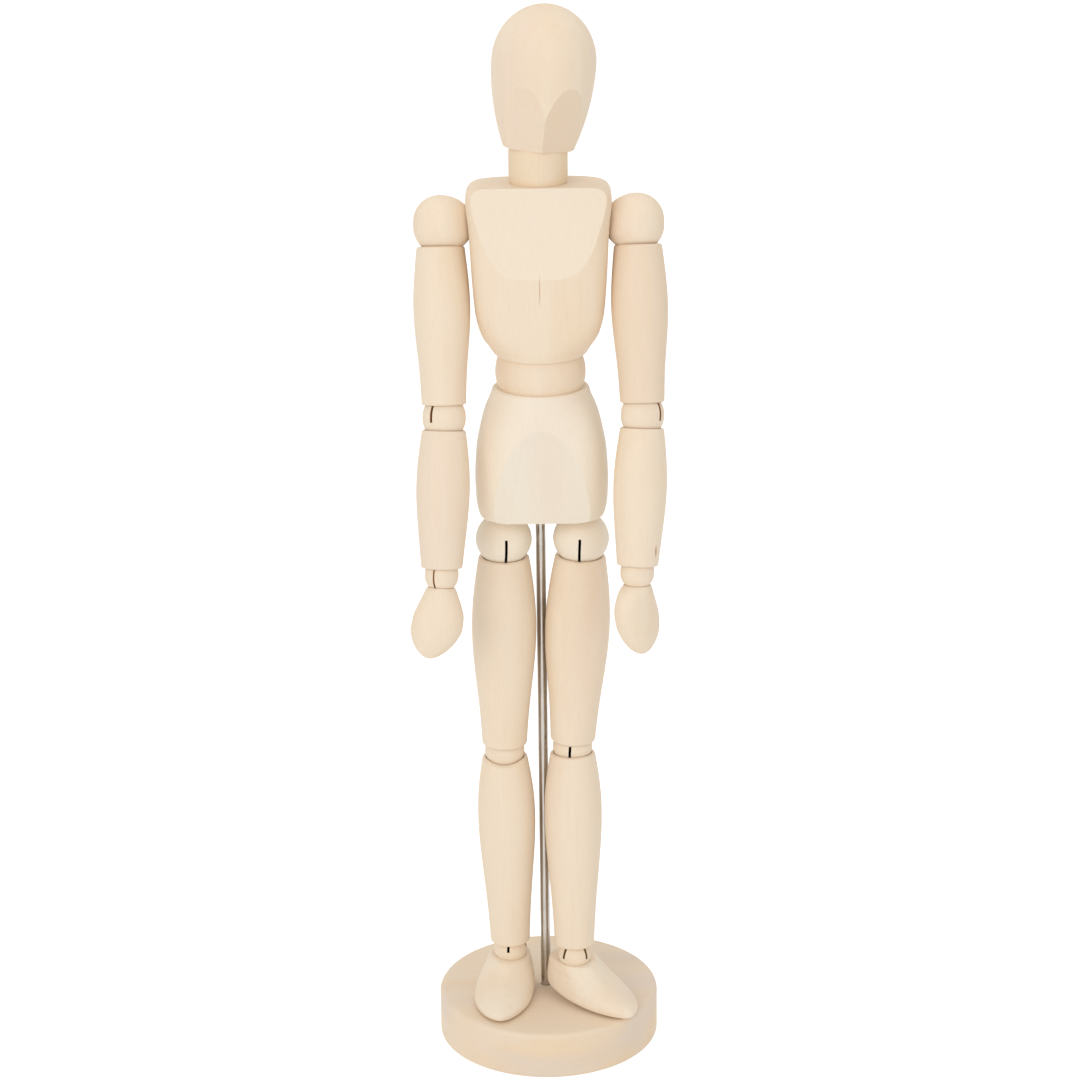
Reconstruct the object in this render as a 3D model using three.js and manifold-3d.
// Wooden artist mannequin on a round stand, about 300 mm tall.
// Millimetres, +Z up. The origin is the middle of the underside of the base, and the figure faces -Y.
// Every wooden ball carries a steel pin. Springs in the bored limbs hook the pins and pull each ball
// into the hollow ends of its neighbours, so friction holds the pose.
import * as THREE from 'three';
import { mergeVertices } from 'three/addons/utils/BufferGeometryUtils.js';
import Module from 'manifold-3d';

const wasm = await Module();
wasm.setup();

// Clearances
const ballFit = 0.3;
const pinFit = 0.2;
const rodFit = 0.25;
const pegFit = 0.3;
const wireFit = 0.3;
const soleGap = 0.5;

// Stand
const base = { diameter: 63.8, thickness: 13.4, edge: 1.2, rodDepth: 10 };
const rod = { diameter: 3, pelvisDepth: 12, offCentre: -0.75, sideStep: 0.5, backStep: 4.5 };

// Steel inside the figure
const pin = { diameter: 1.2, endInset: 0.5, blindInset: 1.3 };
const wire = { diameter: 0.5, coilRadius: 1.4, turns: 2, coilClear: 0.9 };

// Balls: radius, and the straight land between the two half spheres
const shoulder = { radius: 7.2, land: 1.35, out: 26.35, drop: 11.8 };
const elbow = { radius: 5.85, land: 1.1 };
const wrist = { radius: 4.6, land: 0.5 };
const hip = { radius: 7.8, land: 0, out: 10.73, seat: 0.45 };
const knee = { radius: 5.65, land: 0 };
const ankle = { radius: 4.75, land: 0 };
const waist = { radius: 12.3, boreRadius: 3, flareRadius: 5.2 };
const neck = { radius: 7.9, land: 5.25, boreRadius: 2.7, flareRadius: 4.4 };
const slot = { width: 1.3, crossFloor: 1 };
const peg = { radius: 1.3 };

// Limbs: reach between ball centres, rim distances from those centres, radii down the limb
const upperArm = { reach: 50.5, topRim: 5.15, endRim: 3, radii: [6.45, 7.3, 7.7, 7.15, 6.35, 6] };
const forearm = { reach: 41.6, topRim: 2.7, endRim: 1.5, radii: [5.95, 6.85, 7.3, 7, 6.3, 5.6] };
const thigh = { reach: 63.5, topRim: 5.3, endRim: 2, radii: [7.05, 8.6, 9.1, 8.35, 7.1, 6.35] };
const shin = { reach: 63.8, topRim: 2, endRim: 3.1, radii: [6.4, 8.05, 8.15, 7.3, 6.3, 5.7] };
const limb = { edge: 0.3, bevelDepth: 1.1, bevelReach: 2.6 };

// Hand and foot
const hand = { rim: 3.2, length: 19.6, width: 14.2, thickness: 9, pegDepth: 5, tipShift: 2.3 };
const foot = {
  ankleHeight: 12.2, rim: 1.6, front: 23.2, back: 9.1, inner: 7.5, outer: 10, outerTaper: 0.16,
  lead: 8, power: 2.3, toePower: 1.75, wall: 1, pegDepth: 3.4, heelFlat: -4, heelRise: 9,
};

// Torso and head
const pelvis = {
  height: 36.2, width: 36.8, front: 12.6, back: 12.2, rimWall: 0.9, rimEdge: 0.5,
  flatTop: 26.8, flatSlope: 0.088, pinRise: 18.8,
};
const chest = {
  height: 46.7, width: 39.2, front: 13, back: 12, rimWall: -0.2,
  flatFoot: 23, flatSlope: 0.174, anchorRise: 18.6, pinInset: 3,
};
const waistRims = { pelvis: 4.1, chest: 5 };
const neckRims = { chest: 2.3, head: 1.8 };
const neckAnchorDrop = 7.1;
const head = {
  height: 37.6, radius: 13.8, widest: 22.6, footRadius: 9.65, edge: 0.5, pinRise: 9.8,
  ridgeReach: 12.2, flatTurn: 28, flatSlope: 0.364, flatRise: 8.8,
};

// Pose of the figure in degrees: lean is forward and tilt is towards -X.
// Slots are turned outward from the front, and a trim is how much shorter than its pair a limb was cut.
const headPose = { roll: -4.4, turn: 5.6 };
const sides = [
  {
    name: 'right', out: -1,
    arm: { lean: 12.5, tilt: -0.35 }, forearm: { lean: 0, tilt: 2.15 },
    hand: { lean: 0, tilt: 1.5, turn: 0 }, thigh: { lean: -0.5, tilt: 0.65, trim: 0 },
    shin: { lean: -0.9, tilt: -1.3 }, foot: { turn: 8, pitch: 0, shift: 0 },
    slots: { elbow: 35, wrist: 26, hip: -6, knee: 180 }, kneeSlotEnd: 4, kneeBevel: 0,
  },
  {
    name: 'left', out: 1,
    arm: { lean: 12.5, tilt: -1.1 }, forearm: { lean: 0, tilt: 3.5 },
    hand: { lean: -5, tilt: -1.5, turn: 46 }, thigh: { lean: -0.5, tilt: 2.6, trim: 0.9 },
    shin: { lean: 4.4, tilt: -2.6 }, foot: { turn: 47, pitch: 3.4, shift: 1.5 },
    slots: { elbow: 53, wrist: 85, hip: -4, knee: -9 }, kneeSlotEnd: 0, kneeBevel: 180,
  },
];

// Facet counts
const jawSteps = 5;
const crownSteps = 6;
const roundSides = 14;
const ballSides = 10;
const torsoSides = 22;
const baseSides = 40;
const smallSides = 6;
const arcStep = 22.5;

// Heights that follow from the stack of pieces
const pinRadius = pin.diameter / 2;
const wireRadius = wire.diameter / 2;
const loopRadius = pinRadius + wireFit + wireRadius;
const loopRoom = loopRadius + wireRadius + wireFit;
const loopStep = wire.diameter + wireFit;
const boreSpread = 1 / Math.cos(Math.PI / smallSides);
const boreRadius = (wire.coilRadius + wireRadius + wireFit) * boreSpread;
const ballBoreRadius = Math.hypot(loopRoom, loopStep + wireRadius) * boreSpread;
const rodRadius = rod.diameter / 2;
const hipZ = base.thickness + soleGap + foot.ankleHeight + shin.reach + thigh.reach;
const pelvisZ = hipZ + hip.radius - hip.seat;
const pelvisTopZ = pelvisZ + pelvis.height;
const waistZ = pelvisTopZ + waistRims.pelvis;
const chestZ = waistZ + waistRims.chest;
const chestTopZ = chestZ + chest.height;
const shoulderZ = chestTopZ - shoulder.drop;
const neckZ = chestTopZ + neckRims.chest;

// Materials
const wood = (color) => new THREE.MeshStandardMaterial({ color, roughness: 0.75, metalness: 0 });
const paleWood = wood(0xecdcc2);
const pelvisWood = wood(0xefe5d2);
const baseWood = wood(0xdcc7a8);
const steel = new THREE.MeshStandardMaterial({ color: 0xb9b7b2, roughness: 0.28, metalness: 1 });
const springSteel = new THREE.MeshStandardMaterial({ color: 0x8f8a80, roughness: 0.4, metalness: 1 });

const radians = THREE.MathUtils.degToRad;

// A closed solid from a geometry whose corners are shared
function solid(geometry) {
  const bare = geometry.clone();
  bare.deleteAttribute('normal');
  bare.deleteAttribute('uv');
  const merged = mergeVertices(bare, 1e-4);
  const corners = merged.index.array;
  const kept = [];
  for (let i = 0; i < corners.length; i += 3) {
    const [a, b, c] = [corners[i], corners[i + 1], corners[i + 2]];
    if (a !== b && b !== c && c !== a) kept.push(a, b, c);
  }
  const vertProperties = merged.attributes.position.array;
  return new wasm.Manifold(new wasm.Mesh({ numProp: 3, vertProperties, triVerts: new Uint32Array(kept) }));
}

// A geometry with tools cut away from it
function carve(body, tools = []) {
  const shape = tools.reduce((rest, tool) => rest.subtract(solid(tool)), solid(body));
  const mesh = shape.getMesh();
  const geometry = new THREE.BufferGeometry();
  geometry.setAttribute('position', new THREE.BufferAttribute(mesh.vertProperties, 3));
  geometry.setIndex(new THREE.BufferAttribute(mesh.triVerts, 1));
  geometry.computeVertexNormals();
  return geometry;
}

// A piece turned about Z from a profile of [radius, height] pairs that runs upward on its outside
function turned(profile, segments) {
  const points = profile.map(([radius, height]) => new THREE.Vector2(Math.max(radius, 0), height));
  return new THREE.LatheGeometry(points, segments).rotateX(Math.PI / 2);
}

// Profile points on a circle about [0, height], from one angle above the equator to another
function arc(height, radius, from, to) {
  const steps = Math.max(1, Math.ceil(Math.abs(to - from) / arcStep));
  return Array.from({ length: steps + 1 }, (_, i) => {
    const angle = radians(from + ((to - from) * i) / steps);
    return [radius * Math.cos(angle), height + radius * Math.sin(angle)];
  });
}

// Hollow whose facets all stay clear of the ball that it holds
const cupRadius = (ball, segments) => (ball.radius + ballFit) / Math.cos(Math.PI / segments);

const latitude = (height, radius) => THREE.MathUtils.radToDeg(Math.asin(height / radius));
const latitudeAt = (reach, radius) => THREE.MathUtils.radToDeg(Math.acos(reach / radius));

// A round tool along Z between two heights
function drill(radius, from, to, segments = smallSides) {
  return new THREE.CylinderGeometry(radius, radius, to - from, segments).rotateX(Math.PI / 2)
    .translate(0, 0, (from + to) / 2);
}

function cupTool(ball, segments) {
  return turned(arc(0, cupRadius(ball, segments), -90, 90), segments);
}

// A piece lofted through closed rings that run upward
function loft(rings) {
  const count = rings[0].length;
  const positions = rings.flat().flatMap((point) => [point.x, point.y, point.z]);
  const indices = [];
  for (let ring = 0; ring + 1 < rings.length; ring += 1) {
    for (let i = 0; i < count; i += 1) {
      const a = ring * count + i;
      const b = ring * count + ((i + 1) % count);
      indices.push(a, b, a + count, b, b + count, a + count);
    }
  }
  const top = (rings.length - 1) * count;
  for (let i = 1; i + 1 < count; i += 1) {
    indices.push(0, i + 1, i, top, top + i, top + i + 1);
  }
  const geometry = new THREE.BufferGeometry();
  geometry.setAttribute('position', new THREE.Float32BufferAttribute(positions, 3));
  geometry.setIndex(indices);
  return geometry;
}

// One ring of a loft: an oval with its own reach to each side and a power that squares its corners
function oval({ left, right, front, back, power, frontPower = power, z, shift = 0, lead = 0 }, count) {
  const ease = (value, bend) => Math.sign(value) * Math.abs(value) ** (2 / bend);
  return Array.from({ length: count }, (_, i) => {
    const angle = ((i + 0.5) * 2 * Math.PI) / count;
    const bend = Math.sin(angle) > 0 ? power : frontPower;
    const across = ease(Math.cos(angle), bend);
    const along = ease(Math.sin(angle), bend);
    const x = shift + across * (across > 0 ? right : left);
    const y = along * (along > 0 ? back : front) - lead;
    return new THREE.Vector3(x, y, z);
  });
}

const circle = (radius, z, count) => oval({
  left: radius, right: radius, front: radius, back: radius, power: 2, z,
}, count);

// Ball with a land, a saw slot on one side for bending and a bore or peg on the other side for twisting.
// The bend centre is the origin, the slot opens towards +Z and its plane is XZ.
function ballShape({ radius, land }, { pegEnd = 0 } = {}) {
  const foot = pegEnd
    ? [[0, -pegEnd], [peg.radius, -pegEnd], ...arc(-land, radius, -latitudeAt(peg.radius, radius), 0)]
    : arc(-land, radius, -90, 0);
  return turned([...foot, ...arc(0, radius, 0, 90).slice(land ? 0 : 1)], ballSides);
}

function slotTool(radius, hiddenEnd = 0, floor = -loopRoom) {
  const reach = radius + 1;
  const start = hiddenEnd ? -hiddenEnd : -reach;
  return new THREE.BoxGeometry(reach - start, slot.width, reach - floor)
    .translate((reach + start) / 2, 0, (reach + floor) / 2);
}

// Blind pin hole along Y, drilled from the +Y or -Y side
const alongY = (geometry, drillSide) => geometry.rotateX((-Math.PI / 2) * drillSide);

function pinHole(radius, drillSide) {
  return alongY(drill(pinRadius + pinFit, -(radius - pin.blindInset) - pinFit, radius + 1), drillSide);
}

function pinShape(radius, drillSide) {
  return alongY(drill(pinRadius, -(radius - pin.blindInset), radius - pin.endInset), drillSide);
}

// Turned limb hanging down from its upper ball centre, hollowed at both ends and bored through
function limbShape({ reach, topRim, endRim, radii }, upper, lower, bevel) {
  const top = -topRim;
  const end = -(reach - endRim);
  const upperCup = cupRadius(upper, roundSides);
  const lowerCup = cupRadius(lower, roundSides);
  const step = (top - end) / (radii.length - 1);
  const sweep = new THREE.SplineCurve(radii.map((radius, i) => new THREE.Vector2(radius, top - step * i)));
  const outside = sweep.getPoints(radii.length + 2).reverse().map((point) => [point.x, point.y]);
  outside[0] = [radii.at(-1), end + limb.edge];
  outside[outside.length - 1] = [radii[0], top - limb.edge];
  const profile = [
    ...arc(-reach, lowerCup, latitudeAt(boreRadius, lowerCup), latitude(endRim, lowerCup)),
    [radii.at(-1) - limb.edge, end],
    ...outside,
    [radii[0] - limb.edge, top],
    ...arc(0, upperCup, -latitude(topRim, upperCup), -latitudeAt(boreRadius, upperCup)),
  ];
  profile.push(profile[0]);
  return carve(turned(profile, roundSides), bevel ? [bevel] : []);
}

// A flat cut across one rim of a limb, so that the next limb can fold further on that side
function bevelTool(rimZ, rimRadius, opening, turn) {
  const slope = Math.atan2(limb.bevelDepth, limb.bevelReach);
  const size = 4 * rimRadius;
  return new THREE.BoxGeometry(size, size, size).translate(0, 0, (opening * size) / 2)
    .rotateX(opening * slope)
    .translate(0, -(rimRadius - limb.bevelReach), rimZ)
    .rotateZ(turn);
}

// A wire path with its points close together in a loop and further apart in the coil
class WirePath extends THREE.CatmullRomCurve3 {
  getUtoTmapping(u) {
    return u;
  }
}

// Extension spring that hangs down from a pin at the origin to a pin at -length.
// Each end has the turn of its loop about the axis, its shift along the pin and the distance to the coil.
function springShape(length, upper, lower) {
  const loopSteps = 4;
  const loopSweep = 1.25 * Math.PI;
  const coilSteps = Math.round(wire.turns * 6);
  const points = [];
  const loop = (end, z, direction) => {
    for (let i = 0; i <= loopSteps; i += 1) {
      const share = direction > 0 ? 1 - i / loopSteps : i / loopSteps;
      const angle = direction * loopSweep * share;
      const out = loopRadius * Math.cos(angle);
      points.push(new THREE.Vector3(
        out * Math.cos(end.turn) - end.shift * Math.sin(end.turn),
        out * Math.sin(end.turn) + end.shift * Math.cos(end.turn),
        z + loopRadius * Math.sin(angle),
      ));
    }
  };
  const sweep = wire.turns * 2 * Math.PI + lower.turn - upper.turn;
  loop(upper, 0, 1);
  for (let i = 0; i <= coilSteps; i += 1) {
    const angle = upper.turn + (sweep * i) / coilSteps;
    const z = THREE.MathUtils.lerp(-upper.clear, lower.clear - length, i / coilSteps);
    points.push(new THREE.Vector3(wire.coilRadius * Math.cos(angle), wire.coilRadius * Math.sin(angle), z));
  }
  loop(lower, -length, -1);
  const section = new THREE.Shape([[1, 0], [0, 1], [-1, 0], [0, -1]]
    .map(([x, y]) => new THREE.Vector2(x * wireRadius, y * wireRadius)));
  const path = { steps: points.length - 1, extrudePath: new WirePath(points), bevelEnabled: false };
  return carve(new THREE.ExtrudeGeometry(section, path));
}

// Named pieces and the groups that pose them
function add(parent, name, geometry, material) {
  const mesh = new THREE.Mesh(geometry, material);
  mesh.name = name;
  parent.add(mesh);
  return mesh;
}

function frameAt(parent, [x, y, z], { lean = 0, tilt = 0, turn = 0 } = {}) {
  const frame = new THREE.Group();
  frame.position.set(x, y, z);
  frame.rotation.set(radians(-lean), radians(tilt), radians(turn), 'XYZ');
  parent.add(frame);
  return frame;
}

const mannequin = new THREE.Group();
const figure = frameAt(mannequin, [rod.offCentre + rod.sideStep, -rod.backStep, 0]);

function makeStand() {
  const radius = base.diameter / 2;
  const disc = turned([
    [0, 0], [radius - base.edge / 2, 0], [radius, base.edge / 2],
    [radius, base.thickness - base.edge], [radius - base.edge * 0.3, base.thickness - base.edge * 0.3],
    [radius - base.edge, base.thickness], [0, base.thickness],
  ], baseSides);
  const holeFloor = base.thickness - base.rodDepth;
  const hole = drill(rodRadius + rodFit, holeFloor, base.thickness + 1, ballSides);
  add(mannequin, 'base', carve(disc, [hole.translate(rod.offCentre, 0, 0)]), baseWood);
  const rodTop = pelvisZ + rod.pelvisDepth - rodFit;
  const shaft = carve(drill(rodRadius, holeFloor + rodFit, rodTop, ballSides));
  add(frameAt(mannequin, [rod.offCentre, 0, 0]), 'stand_rod', shaft, steel);
}

// Pelvis: a lofted block, flat low on its front, dished above for the waist and below for the hips
function makePelvis() {
  const half = pelvis.width / 2;
  const rim = waist.radius + pelvis.rimWall;
  const levels = [
    [0, 0.86, 0.9, 3], [0.014, 0.93, 0.97, 3], [0.05, 0.96, 1, 3], [0.14, 0.99, 1, 3], [0.3, 1, 1, 3],
    [0.5, 0.98, 1, 2.9], [0.7, 0.91, 1, 2.7], [0.83, 0.84, 1, 2.4], [0.94, 0.75, 1.01, 2.1],
  ];
  const rings = levels.map(([rise, side, deep, power]) => oval({
    left: half * side, right: half * side, front: pelvis.front * deep, back: pelvis.back * deep, power,
    z: pelvis.height * rise,
  }, torsoSides));
  rings.push(circle(rim, pelvis.height - pelvis.rimEdge, torsoSides));
  rings.push(circle(rim - pelvis.rimEdge, pelvis.height, torsoSides));
  const flat = new THREE.BoxGeometry(4 * half, 4 * half, 4 * half).translate(0, -2 * half, 0)
    .rotateX(Math.atan(pelvis.flatSlope)).translate(0, -pelvis.front, pelvis.flatTop);
  const pinHalf = half - pin.blindInset * 2;
  const tools = [
    flat,
    cupTool(waist, torsoSides).translate(0, 0, waistZ - pelvisZ),
    drill(boreRadius, pelvis.pinRise - loopRoom, pelvis.height),
    drill(rodRadius + rodFit, -1, rod.pelvisDepth, ballSides).translate(-rod.sideStep, rod.backStep, 0),
    drill(pinRadius + pinFit, -pinHalf - pinFit, half + 1).rotateY(Math.PI / 2)
      .translate(0, 0, pelvis.pinRise),
  ];
  for (const { out } of sides) {
    tools.push(
      cupTool(hip, roundSides).translate(out * hip.out, 0, hipZ - pelvisZ),
      drill(boreRadius, -1, pelvis.pinRise + loopRoom).translate(out * hip.out, 0, 0),
    );
  }
  const frame = frameAt(figure, [0, 0, pelvisZ]);
  add(frame, 'pelvis', carve(loft(rings), tools), pelvisWood);
  const longPin = drill(pinRadius, -pinHalf, half - pin.blindInset).rotateY(Math.PI / 2);
  add(frame, 'pelvis_pin', carve(longPin.translate(0, 0, pelvis.pinRise)), steel);
}

// Waist ball with a flared bore for the spring that ties the chest to the pelvis
function makeWaist() {
  const { radius, boreRadius: bore, flareRadius } = waist;
  const rimAngle = latitudeAt(flareRadius, radius);
  const outside = arc(0, radius, -rimAngle, rimAngle);
  const profile = [...outside, [bore, 0], outside[0]];
  const frame = frameAt(figure, [0, 0, waistZ]);
  add(frame, 'waist', carve(turned(profile, torsoSides)), paleWood);
}

// Chest: a lofted block that tapers to the waist, with a flat high on its front
function makeChest() {
  const half = chest.width / 2;
  const rim = waist.radius + chest.rimWall;
  const shoulderRise = shoulderZ - chestZ;
  const anchorTopZ = chest.height - neckAnchorDrop;
  const levels = [
    [0.02, 0.665, 0.95, 1, 2], [0.06, 0.72, 0.98, 1, 2.3],
    [0.107, 0.79, 0.99, 1, 2.8], [0.16, 0.84, 1, 1, 3.3],
    [0.26, 0.89, 1, 1, 4], [0.47, 0.93, 1, 0.97, 4], [0.75, 0.965, 1, 0.92, 4], [0.9, 1, 1, 0.88, 4],
    [0.945, 0.995, 1, 0.87, 4], [0.98, 0.95, 0.96, 0.83, 3.7], [1, 0.86, 0.89, 0.75, 3.4],
  ];
  const rings = levels.map(([rise, side, ahead, behind, power]) => oval({
    left: half * side, right: half * side, front: chest.front * ahead, back: chest.back * behind, power,
    z: chest.height * rise,
  }, torsoSides));
  rings.unshift(circle(rim, 0, torsoSides));
  const flat = new THREE.BoxGeometry(4 * half, 4 * half, 4 * half).translate(0, -2 * half, 0)
    .rotateX(-Math.atan(chest.flatSlope)).translate(0, -chest.front, chest.flatFoot);
  const pinReach = (chest.front + chest.back) / 2 - chest.pinInset;
  const anchors = { neck_anchor_pin: anchorTopZ, waist_anchor_pin: chest.anchorRise };
  const tools = [
    flat,
    cupTool(waist, torsoSides).translate(0, 0, waistZ - chestZ),
    cupTool(neck, roundSides).translate(0, 0, neckZ - chestZ),
    drill(boreRadius, 0, chest.anchorRise + loopRoom),
    drill(boreRadius, anchorTopZ - loopRoom, chest.height),
    drill(boreRadius, -half - 1, half + 1).rotateY(Math.PI / 2).translate(0, 0, shoulderRise),
  ];
  for (const { out } of sides) {
    tools.push(cupTool(shoulder, roundSides).translate(out * shoulder.out, 0, shoulderRise));
  }
  for (const z of Object.values(anchors)) tools.push(pinHole(pinReach, 1).translate(0, 0, z));
  const frame = frameAt(figure, [0, 0, chestZ]);
  add(frame, 'chest', carve(loft(rings), tools), paleWood);
  for (const [name, z] of Object.entries(anchors)) {
    add(frame, name, carve(pinShape(pinReach, 1).translate(0, 0, z)), steel);
  }
}

// Neck barrel with a flared bore, and the egg-shaped head with two flats that meet in a ridge
function makeNeckAndHead() {
  const { radius, land, boreRadius: bore, flareRadius } = neck;
  const rimAngle = latitudeAt(flareRadius, radius);
  const outside = [...arc(0, radius, -rimAngle, 0), ...arc(land, radius, 0, rimAngle)];
  const profile = [...outside, [bore, land / 2], outside[0]];
  const neckFrame = frameAt(figure, [0, 0, neckZ]);
  add(neckFrame, 'neck', carve(turned(profile, roundSides)), paleWood);

  const headFrame = frameAt(neckFrame, [0, 0, land], { tilt: -headPose.roll, turn: headPose.turn });
  const rise = neckRims.head;
  const shell = [[0, 0], [head.footRadius - head.edge, 0]];
  for (let i = 0; i <= jawSteps; i += 1) {
    const below = 1 - i / jawSteps;
    const z = head.edge + (head.widest - head.edge) * (1 - below);
    shell.push([head.radius - (head.radius - head.footRadius) * below ** 2, z]);
  }
  for (let i = 1; i <= crownSteps; i += 1) {
    const angle = (Math.PI / 2) * (i / crownSteps);
    const z = head.widest + (head.height - head.widest) * Math.sin(angle);
    shell.push([head.radius * Math.cos(angle), z]);
  }
  const size = 4 * head.radius;
  const flats = [-1, 1].map((hand) => new THREE.BoxGeometry(size, size, size).translate(0, -size / 2, 0)
    .rotateX(Math.atan(head.flatSlope * Math.cos(radians(head.flatTurn))))
    .translate(0, -head.ridgeReach * Math.cos(radians(head.flatTurn)), head.flatRise)
    .rotateZ(radians(hand * head.flatTurn)));
  const tools = [
    ...flats,
    cupTool(neck, roundSides).translate(0, 0, -rise),
    drill(boreRadius, 0, head.pinRise + loopRoom),
    pinHole(head.footRadius, 1).translate(0, 0, head.pinRise),
  ];
  const skull = carve(turned(shell, roundSides + 2), tools).translate(0, 0, rise);
  add(headFrame, 'head', skull, paleWood);
  add(headFrame, 'head_pin', carve(pinShape(head.footRadius, 1)).translate(0, 0, rise + head.pinRise), steel);

  const hookFrame = frameAt(figure, [0, 0, chestTopZ - neckAnchorDrop]);
  const roll = radians(-headPose.roll);
  const headHook = new THREE.Vector3(
    Math.sin(roll) * (rise + head.pinRise), 0,
    neckAnchorDrop + neckRims.chest + land + Math.cos(roll) * (rise + head.pinRise),
  );
  hookFrame.position.add(headHook);
  hookFrame.rotation.y = Math.atan2(headHook.x, headHook.z);
  const clear = loopRoom + wire.coilClear;
  const upper = { turn: radians(headPose.turn), shift: 0, clear };
  const lower = { turn: 0, shift: 0, clear };
  add(hookFrame, 'neck_spring', springShape(headHook.length(), upper, lower), springSteel);
}

function makeTrunkSprings() {
  const loopEnd = (turn, shift, clear) => ({ turn: radians(turn), shift, clear });
  const waistLength = chestZ + chest.anchorRise - pelvisZ - pelvis.pinRise;
  const waistHook = frameAt(figure, [0, 0, chestZ + chest.anchorRise]);
  const waistEnds = [loopEnd(0, 0, loopRoom + wire.coilClear), loopEnd(90, 0, loopRoom + wire.coilClear)];
  add(waistHook, 'waist_spring', springShape(waistLength, ...waistEnds), springSteel);

  const shoulderHook = frameAt(figure, [shoulder.out, 0, shoulderZ]);
  shoulderHook.rotation.set(0, Math.PI / 2, 0);
  const clear = shoulder.radius + wire.coilClear;
  const lean = sides.map((side) => side.arm.lean);
  const ends = [loopEnd(-lean[1], loopStep, clear), loopEnd(-lean[0], loopStep, clear)];
  add(shoulderHook, 'shoulder_spring', springShape(2 * shoulder.out, ...ends), springSteel);
}

// Arm: shoulder ball, upper arm, elbow ball, forearm, wrist ball and hand, hung from one another
function makeArm({ name, out, arm, forearm: lower, hand: palm, slots }) {
  const label = (piece) => `${name}_${piece}`;
  const turnOf = (degrees) => radians(-90 + out * degrees);

  const ballFrame = frameAt(figure, [out * shoulder.out, 0, shoulderZ], { lean: arm.lean });
  const spring = { turn: 0, shift: 0, clear: shoulder.radius + wire.coilClear };
  const ballTools = [
    slotTool(shoulder.radius + shoulder.land),
    pinHole(shoulder.radius, 1),
    drill(ballBoreRadius, -loopRoom, shoulder.radius + 1).rotateY((Math.PI / 2) * out),
  ];
  const ball = carve(ballShape(shoulder), ballTools).rotateX(Math.PI);
  add(ballFrame, label('shoulder_ball'), ball.rotateZ(Math.PI), paleWood);
  add(ballFrame, label('shoulder_pin'), carve(pinShape(shoulder.radius, 1)), steel);

  const armFrame = frameAt(ballFrame, [0, 0, 0], { tilt: arm.tilt });
  const elbowTurn = turnOf(slots.elbow);
  const armEnd = upperArm.endRim - upperArm.reach;
  const armBevel = bevelTool(armEnd, upperArm.radii.at(-1), -1, elbowTurn - Math.PI / 2);
  add(armFrame, label('upper_arm'), limbShape(upperArm, shoulder, elbow, armBevel), paleWood);
  const elbowEnd = { turn: elbowTurn, shift: 0, clear: elbow.radius + wire.coilClear };
  add(armFrame, label('upper_arm_spring'), springShape(upperArm.reach, spring, elbowEnd), springSteel);

  const elbowFrame = frameAt(armFrame, [0, 0, -upperArm.reach], lower);
  const elbowTools = [
    slotTool(elbow.radius),
    pinHole(elbow.radius, out),
    drill(ballBoreRadius, -elbow.radius - elbow.land - 1, loopRoom),
  ];
  add(elbowFrame, label('elbow_ball'), carve(ballShape(elbow), elbowTools).rotateZ(elbowTurn), paleWood);
  add(elbowFrame, label('elbow_pin'), carve(pinShape(elbow.radius, out)).rotateZ(elbowTurn), steel);
  const forearmFrame = frameAt(elbowFrame, [0, 0, -elbow.land]);
  add(forearmFrame, label('forearm'), limbShape(forearm, elbow, wrist), paleWood);
  const wristTurn = turnOf(slots.wrist);
  const wristEnd = { turn: wristTurn, shift: 0, clear: wrist.radius + wire.coilClear };
  const elbowTwist = { turn: elbowTurn, shift: loopStep, clear: elbow.radius + elbow.land + wire.coilClear };
  const forearmSpring = springShape(forearm.reach + elbow.land, elbowTwist, wristEnd);
  add(elbowFrame, label('forearm_spring'), forearmSpring, springSteel);

  const wristFrame = frameAt(forearmFrame, [0, 0, -forearm.reach], palm);
  const handTurn = wristTurn - radians(palm.turn);
  const pegEnd = wrist.radius + wrist.land + hand.pegDepth;
  const wristTools = [slotTool(wrist.radius), pinHole(wrist.radius, out)];
  const wristBall = carve(ballShape(wrist, { pegEnd }), wristTools);
  add(wristFrame, label('wrist_ball'), wristBall.rotateZ(handTurn), paleWood);
  add(wristFrame, label('wrist_pin'), carve(pinShape(wrist.radius, out)).rotateZ(handTurn), steel);
  add(wristFrame, label('hand'), handShape(out, pegEnd), paleWood);
}

// Hand: a flattened drop, cupped for the wrist ball and bored for its peg
function handShape(out, pegEnd) {
  const rimZ = -wrist.land - hand.rim;
  const tipZ = rimZ - hand.length;
  const shares = [
    [0, 0.1, 0.12], [0.04, 0.33, 0.36], [0.13, 0.62, 0.64], [0.27, 0.87, 0.88], [0.42, 1, 0.97],
    [0.58, 0.98, 1], [0.74, 0.85, 0.98], [0.88, 0.7, 0.95], [1, 0.59, 0.93],
  ];
  const rings = shares.map(([rise, broad, thick]) => {
    const across = (broad * hand.width) / 2;
    const deep = (thick * hand.thickness) / 2;
    const shift = out * hand.tipShift * (1 - rise) ** 2;
    const z = THREE.MathUtils.lerp(tipZ, rimZ, rise);
    return oval({ left: across, right: across, front: deep, back: deep, power: 2, z, shift }, roundSides);
  });
  const cup = cupTool(wrist, roundSides).translate(0, 0, -wrist.land);
  return carve(loft(rings), [cup, drill(peg.radius + pegFit, -pegEnd - pegFit, rimZ)]);
}

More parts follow.
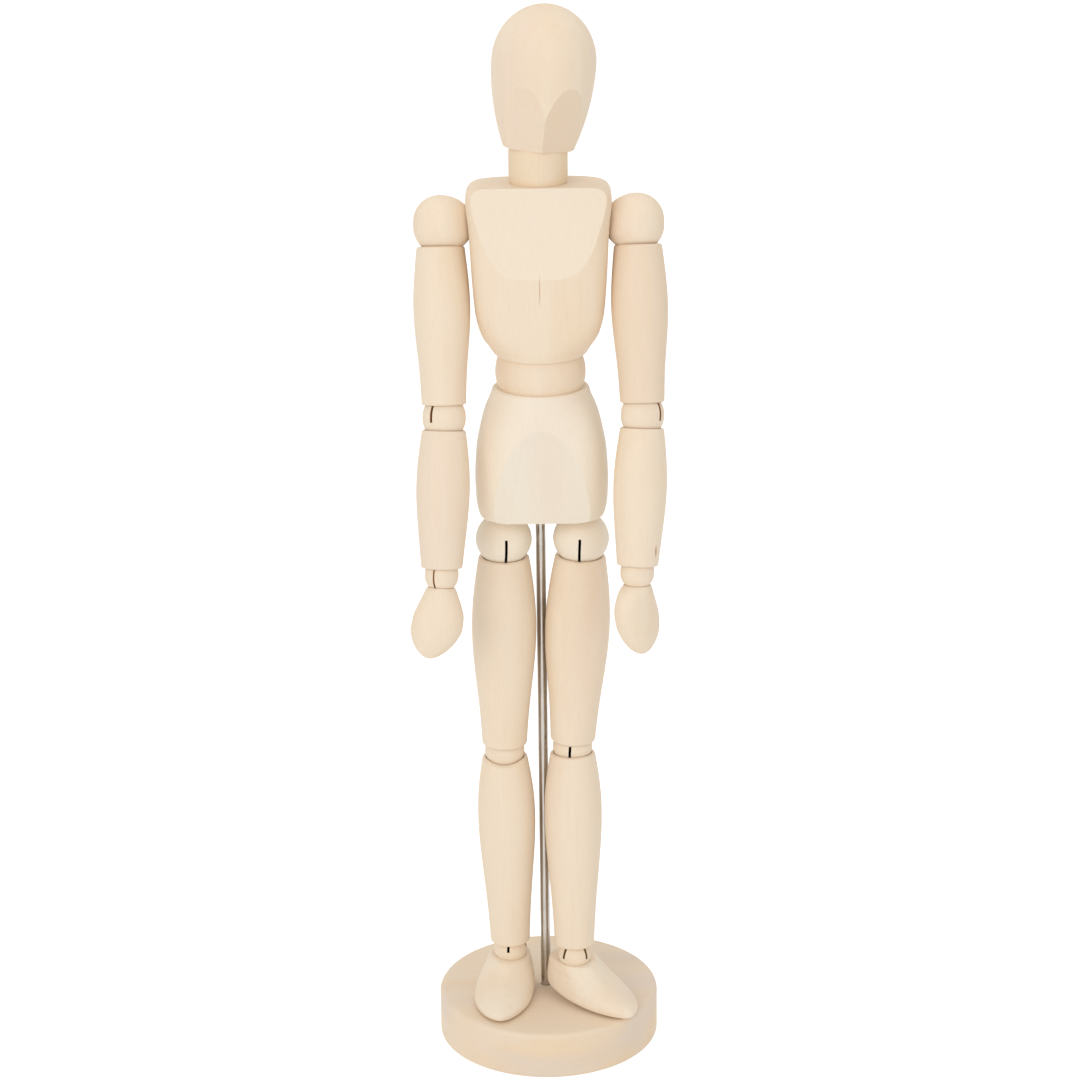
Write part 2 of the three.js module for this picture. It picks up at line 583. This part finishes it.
// Leg: hip ball, thigh, knee ball, shin, ankle ball and foot, hung from one another
function makeLeg(side) {
  const { name, out, thigh: upper, shin: lower, foot: sole, slots, kneeSlotEnd, kneeBevel } = side;
  const label = (piece) => `${name}_${piece}`;
  const turnOf = (degrees) => radians(-90 + out * degrees);

  const socketFrame = frameAt(figure, [out * hip.out, 0, hipZ]);
  const hipFrame = frameAt(socketFrame, [0, 0, 0], { tilt: upper.tilt });
  const hipTurn = turnOf(slots.hip);
  const hipTools = [
    slotTool(hip.radius),
    pinHole(hip.radius, out),
    drill(ballBoreRadius, -hip.radius - 1, loopRoom),
  ];
  const hipBall = carve(ballShape(hip), hipTools).rotateX(Math.PI);
  add(hipFrame, label('hip_ball'), hipBall.rotateZ(hipTurn), paleWood);
  const hipPin = carve(pinShape(hip.radius, out)).rotateX(Math.PI);
  add(hipFrame, label('hip_pin'), hipPin.rotateZ(hipTurn), steel);
  const hipRise = pelvisZ + pelvis.pinRise - hipZ;
  const hookFrame = frameAt(socketFrame, [0, 0, hipRise]);
  const pelvisEnd = { turn: -Math.PI / 2, shift: 0, clear: loopRoom + wire.coilClear };
  const hipTop = { turn: hipTurn, shift: loopStep, clear: hip.radius + wire.coilClear };
  add(hookFrame, label('hip_spring'), springShape(hipRise, pelvisEnd, hipTop), springSteel);

  const thighFrame = frameAt(hipFrame, [0, 0, 0], { lean: upper.lean });
  const reach = thigh.reach - upper.trim;
  add(thighFrame, label('thigh'), limbShape({ ...thigh, reach }, hip, knee), paleWood);
  const kneeTurn = turnOf(slots.knee);
  const hipEnd = { turn: hipTurn, shift: 0, clear: hip.radius + wire.coilClear };
  const kneeTwist = { turn: kneeTurn, shift: loopStep, clear: knee.radius + wire.coilClear };
  add(thighFrame, label('thigh_spring'), springShape(reach, hipEnd, kneeTwist), springSteel);

  const kneeFrame = frameAt(thighFrame, [0, 0, -reach]);
  const kneeTools = [
    slotTool(knee.radius, kneeSlotEnd),
    pinHole(knee.radius, out),
    drill(ballBoreRadius, -knee.radius - 1, loopRoom),
  ];
  const kneeBall = carve(ballShape(knee), kneeTools).rotateX(Math.PI);
  add(kneeFrame, label('knee_ball'), kneeBall.rotateZ(kneeTurn), paleWood);
  const kneePin = carve(pinShape(knee.radius, out)).rotateX(Math.PI);
  add(kneeFrame, label('knee_pin'), kneePin.rotateZ(kneeTurn), steel);

  const shinFrame = frameAt(kneeFrame, [0, 0, 0], lower);
  const shinBevel = bevelTool(-shin.topRim, shin.radii[0], 1, radians(kneeBevel));
  add(shinFrame, label('shin'), limbShape(shin, knee, ankle, shinBevel), paleWood);
  const footTurn = radians(out * sole.turn);
  const kneeEnd = { turn: kneeTurn, shift: 0, clear: knee.radius + wire.coilClear };
  const ankleEnd = { turn: footTurn - Math.PI / 2, shift: 0, clear: ankle.radius + wire.coilClear };
  add(shinFrame, label('shin_spring'), springShape(shin.reach, kneeEnd, ankleEnd), springSteel);

  const ankleFrame = frameAt(shinFrame, [0, 0, -shin.reach]);
  shinFrame.updateWorldMatrix(true, false);
  const level = new THREE.Quaternion().setFromEuler(new THREE.Euler(radians(sole.pitch), 0, footTurn, 'ZYX'));
  ankleFrame.quaternion.copy(shinFrame.getWorldQuaternion(new THREE.Quaternion()).invert().multiply(level));
  const pegEnd = ankle.radius + foot.pegDepth;
  const ankleTools = [
    slotTool(ankle.radius),
    slotTool(ankle.radius, 0, slot.crossFloor).rotateZ(Math.PI / 2),
    pinHole(ankle.radius, out),
  ];
  const ankleBall = carve(ballShape(ankle, { pegEnd }), ankleTools);
  add(ankleFrame, label('ankle_ball'), ankleBall.rotateZ(-Math.PI / 2), paleWood);
  add(ankleFrame, label('ankle_pin'), carve(pinShape(ankle.radius, out)).rotateZ(-Math.PI / 2), steel);
  add(ankleFrame, label('foot'), footShape(out, sole.shift, pegEnd), paleWood);
}

// Foot: a wedge, broadest ahead of the ankle, flat below, cupped for the ankle ball and bored for its peg
function footShape(out, shift, pegEnd) {
  const soleZ = -foot.ankleHeight;
  const height = foot.ankleHeight - foot.rim;
  const levels = [
    [0, 0.95, 0.9, 0.9], [0.06, 0.99, 0.98, 0.97], [0.16, 1, 1, 1], [0.32, 0.88, 1, 0.99],
    [0.46, 0.7, 1, 0.95], [0.62, 0.5, 0.98, 0.9], [0.8, 0.38, 0.95, 0.82], [1, 0.3, 0.84, 0.74],
  ];
  const rings = levels.map(([rise, ahead, behind, side]) => {
    const least = ankle.radius + foot.wall;
    const inner = Math.max((foot.inner - shift) * side, least);
    const outer = Math.max((foot.outer + shift) * side * (1 - foot.outerTaper * rise), least);
    const [left, right] = out > 0 ? [inner, outer] : [outer, inner];
    const z = soleZ + rise * height;
    const lead = foot.lead * (1 - rise);
    const [front, back] = [foot.front * ahead - lead, foot.back * behind + lead];
    const { power, toePower: frontPower } = foot;
    return oval({ left, right, front, back, power, frontPower, z, lead }, roundSides + 6);
  });
  const size = 4 * foot.front;
  const heel = new THREE.BoxGeometry(size, size, size).translate(0, size / 2, -size / 2)
    .rotateX(radians(foot.heelRise)).translate(0, foot.heelFlat, soleZ);
  const tools = [heel, cupTool(ankle, roundSides), drill(peg.radius + pegFit, -pegEnd - pegFit, 0)];
  return carve(loft(rings), tools);
}

makeStand();
makePelvis();
makeWaist();
makeChest();
makeNeckAndHead();
makeTrunkSprings();
for (const side of sides) {
  makeArm(side);
  makeLeg(side);
}

export default mannequin;
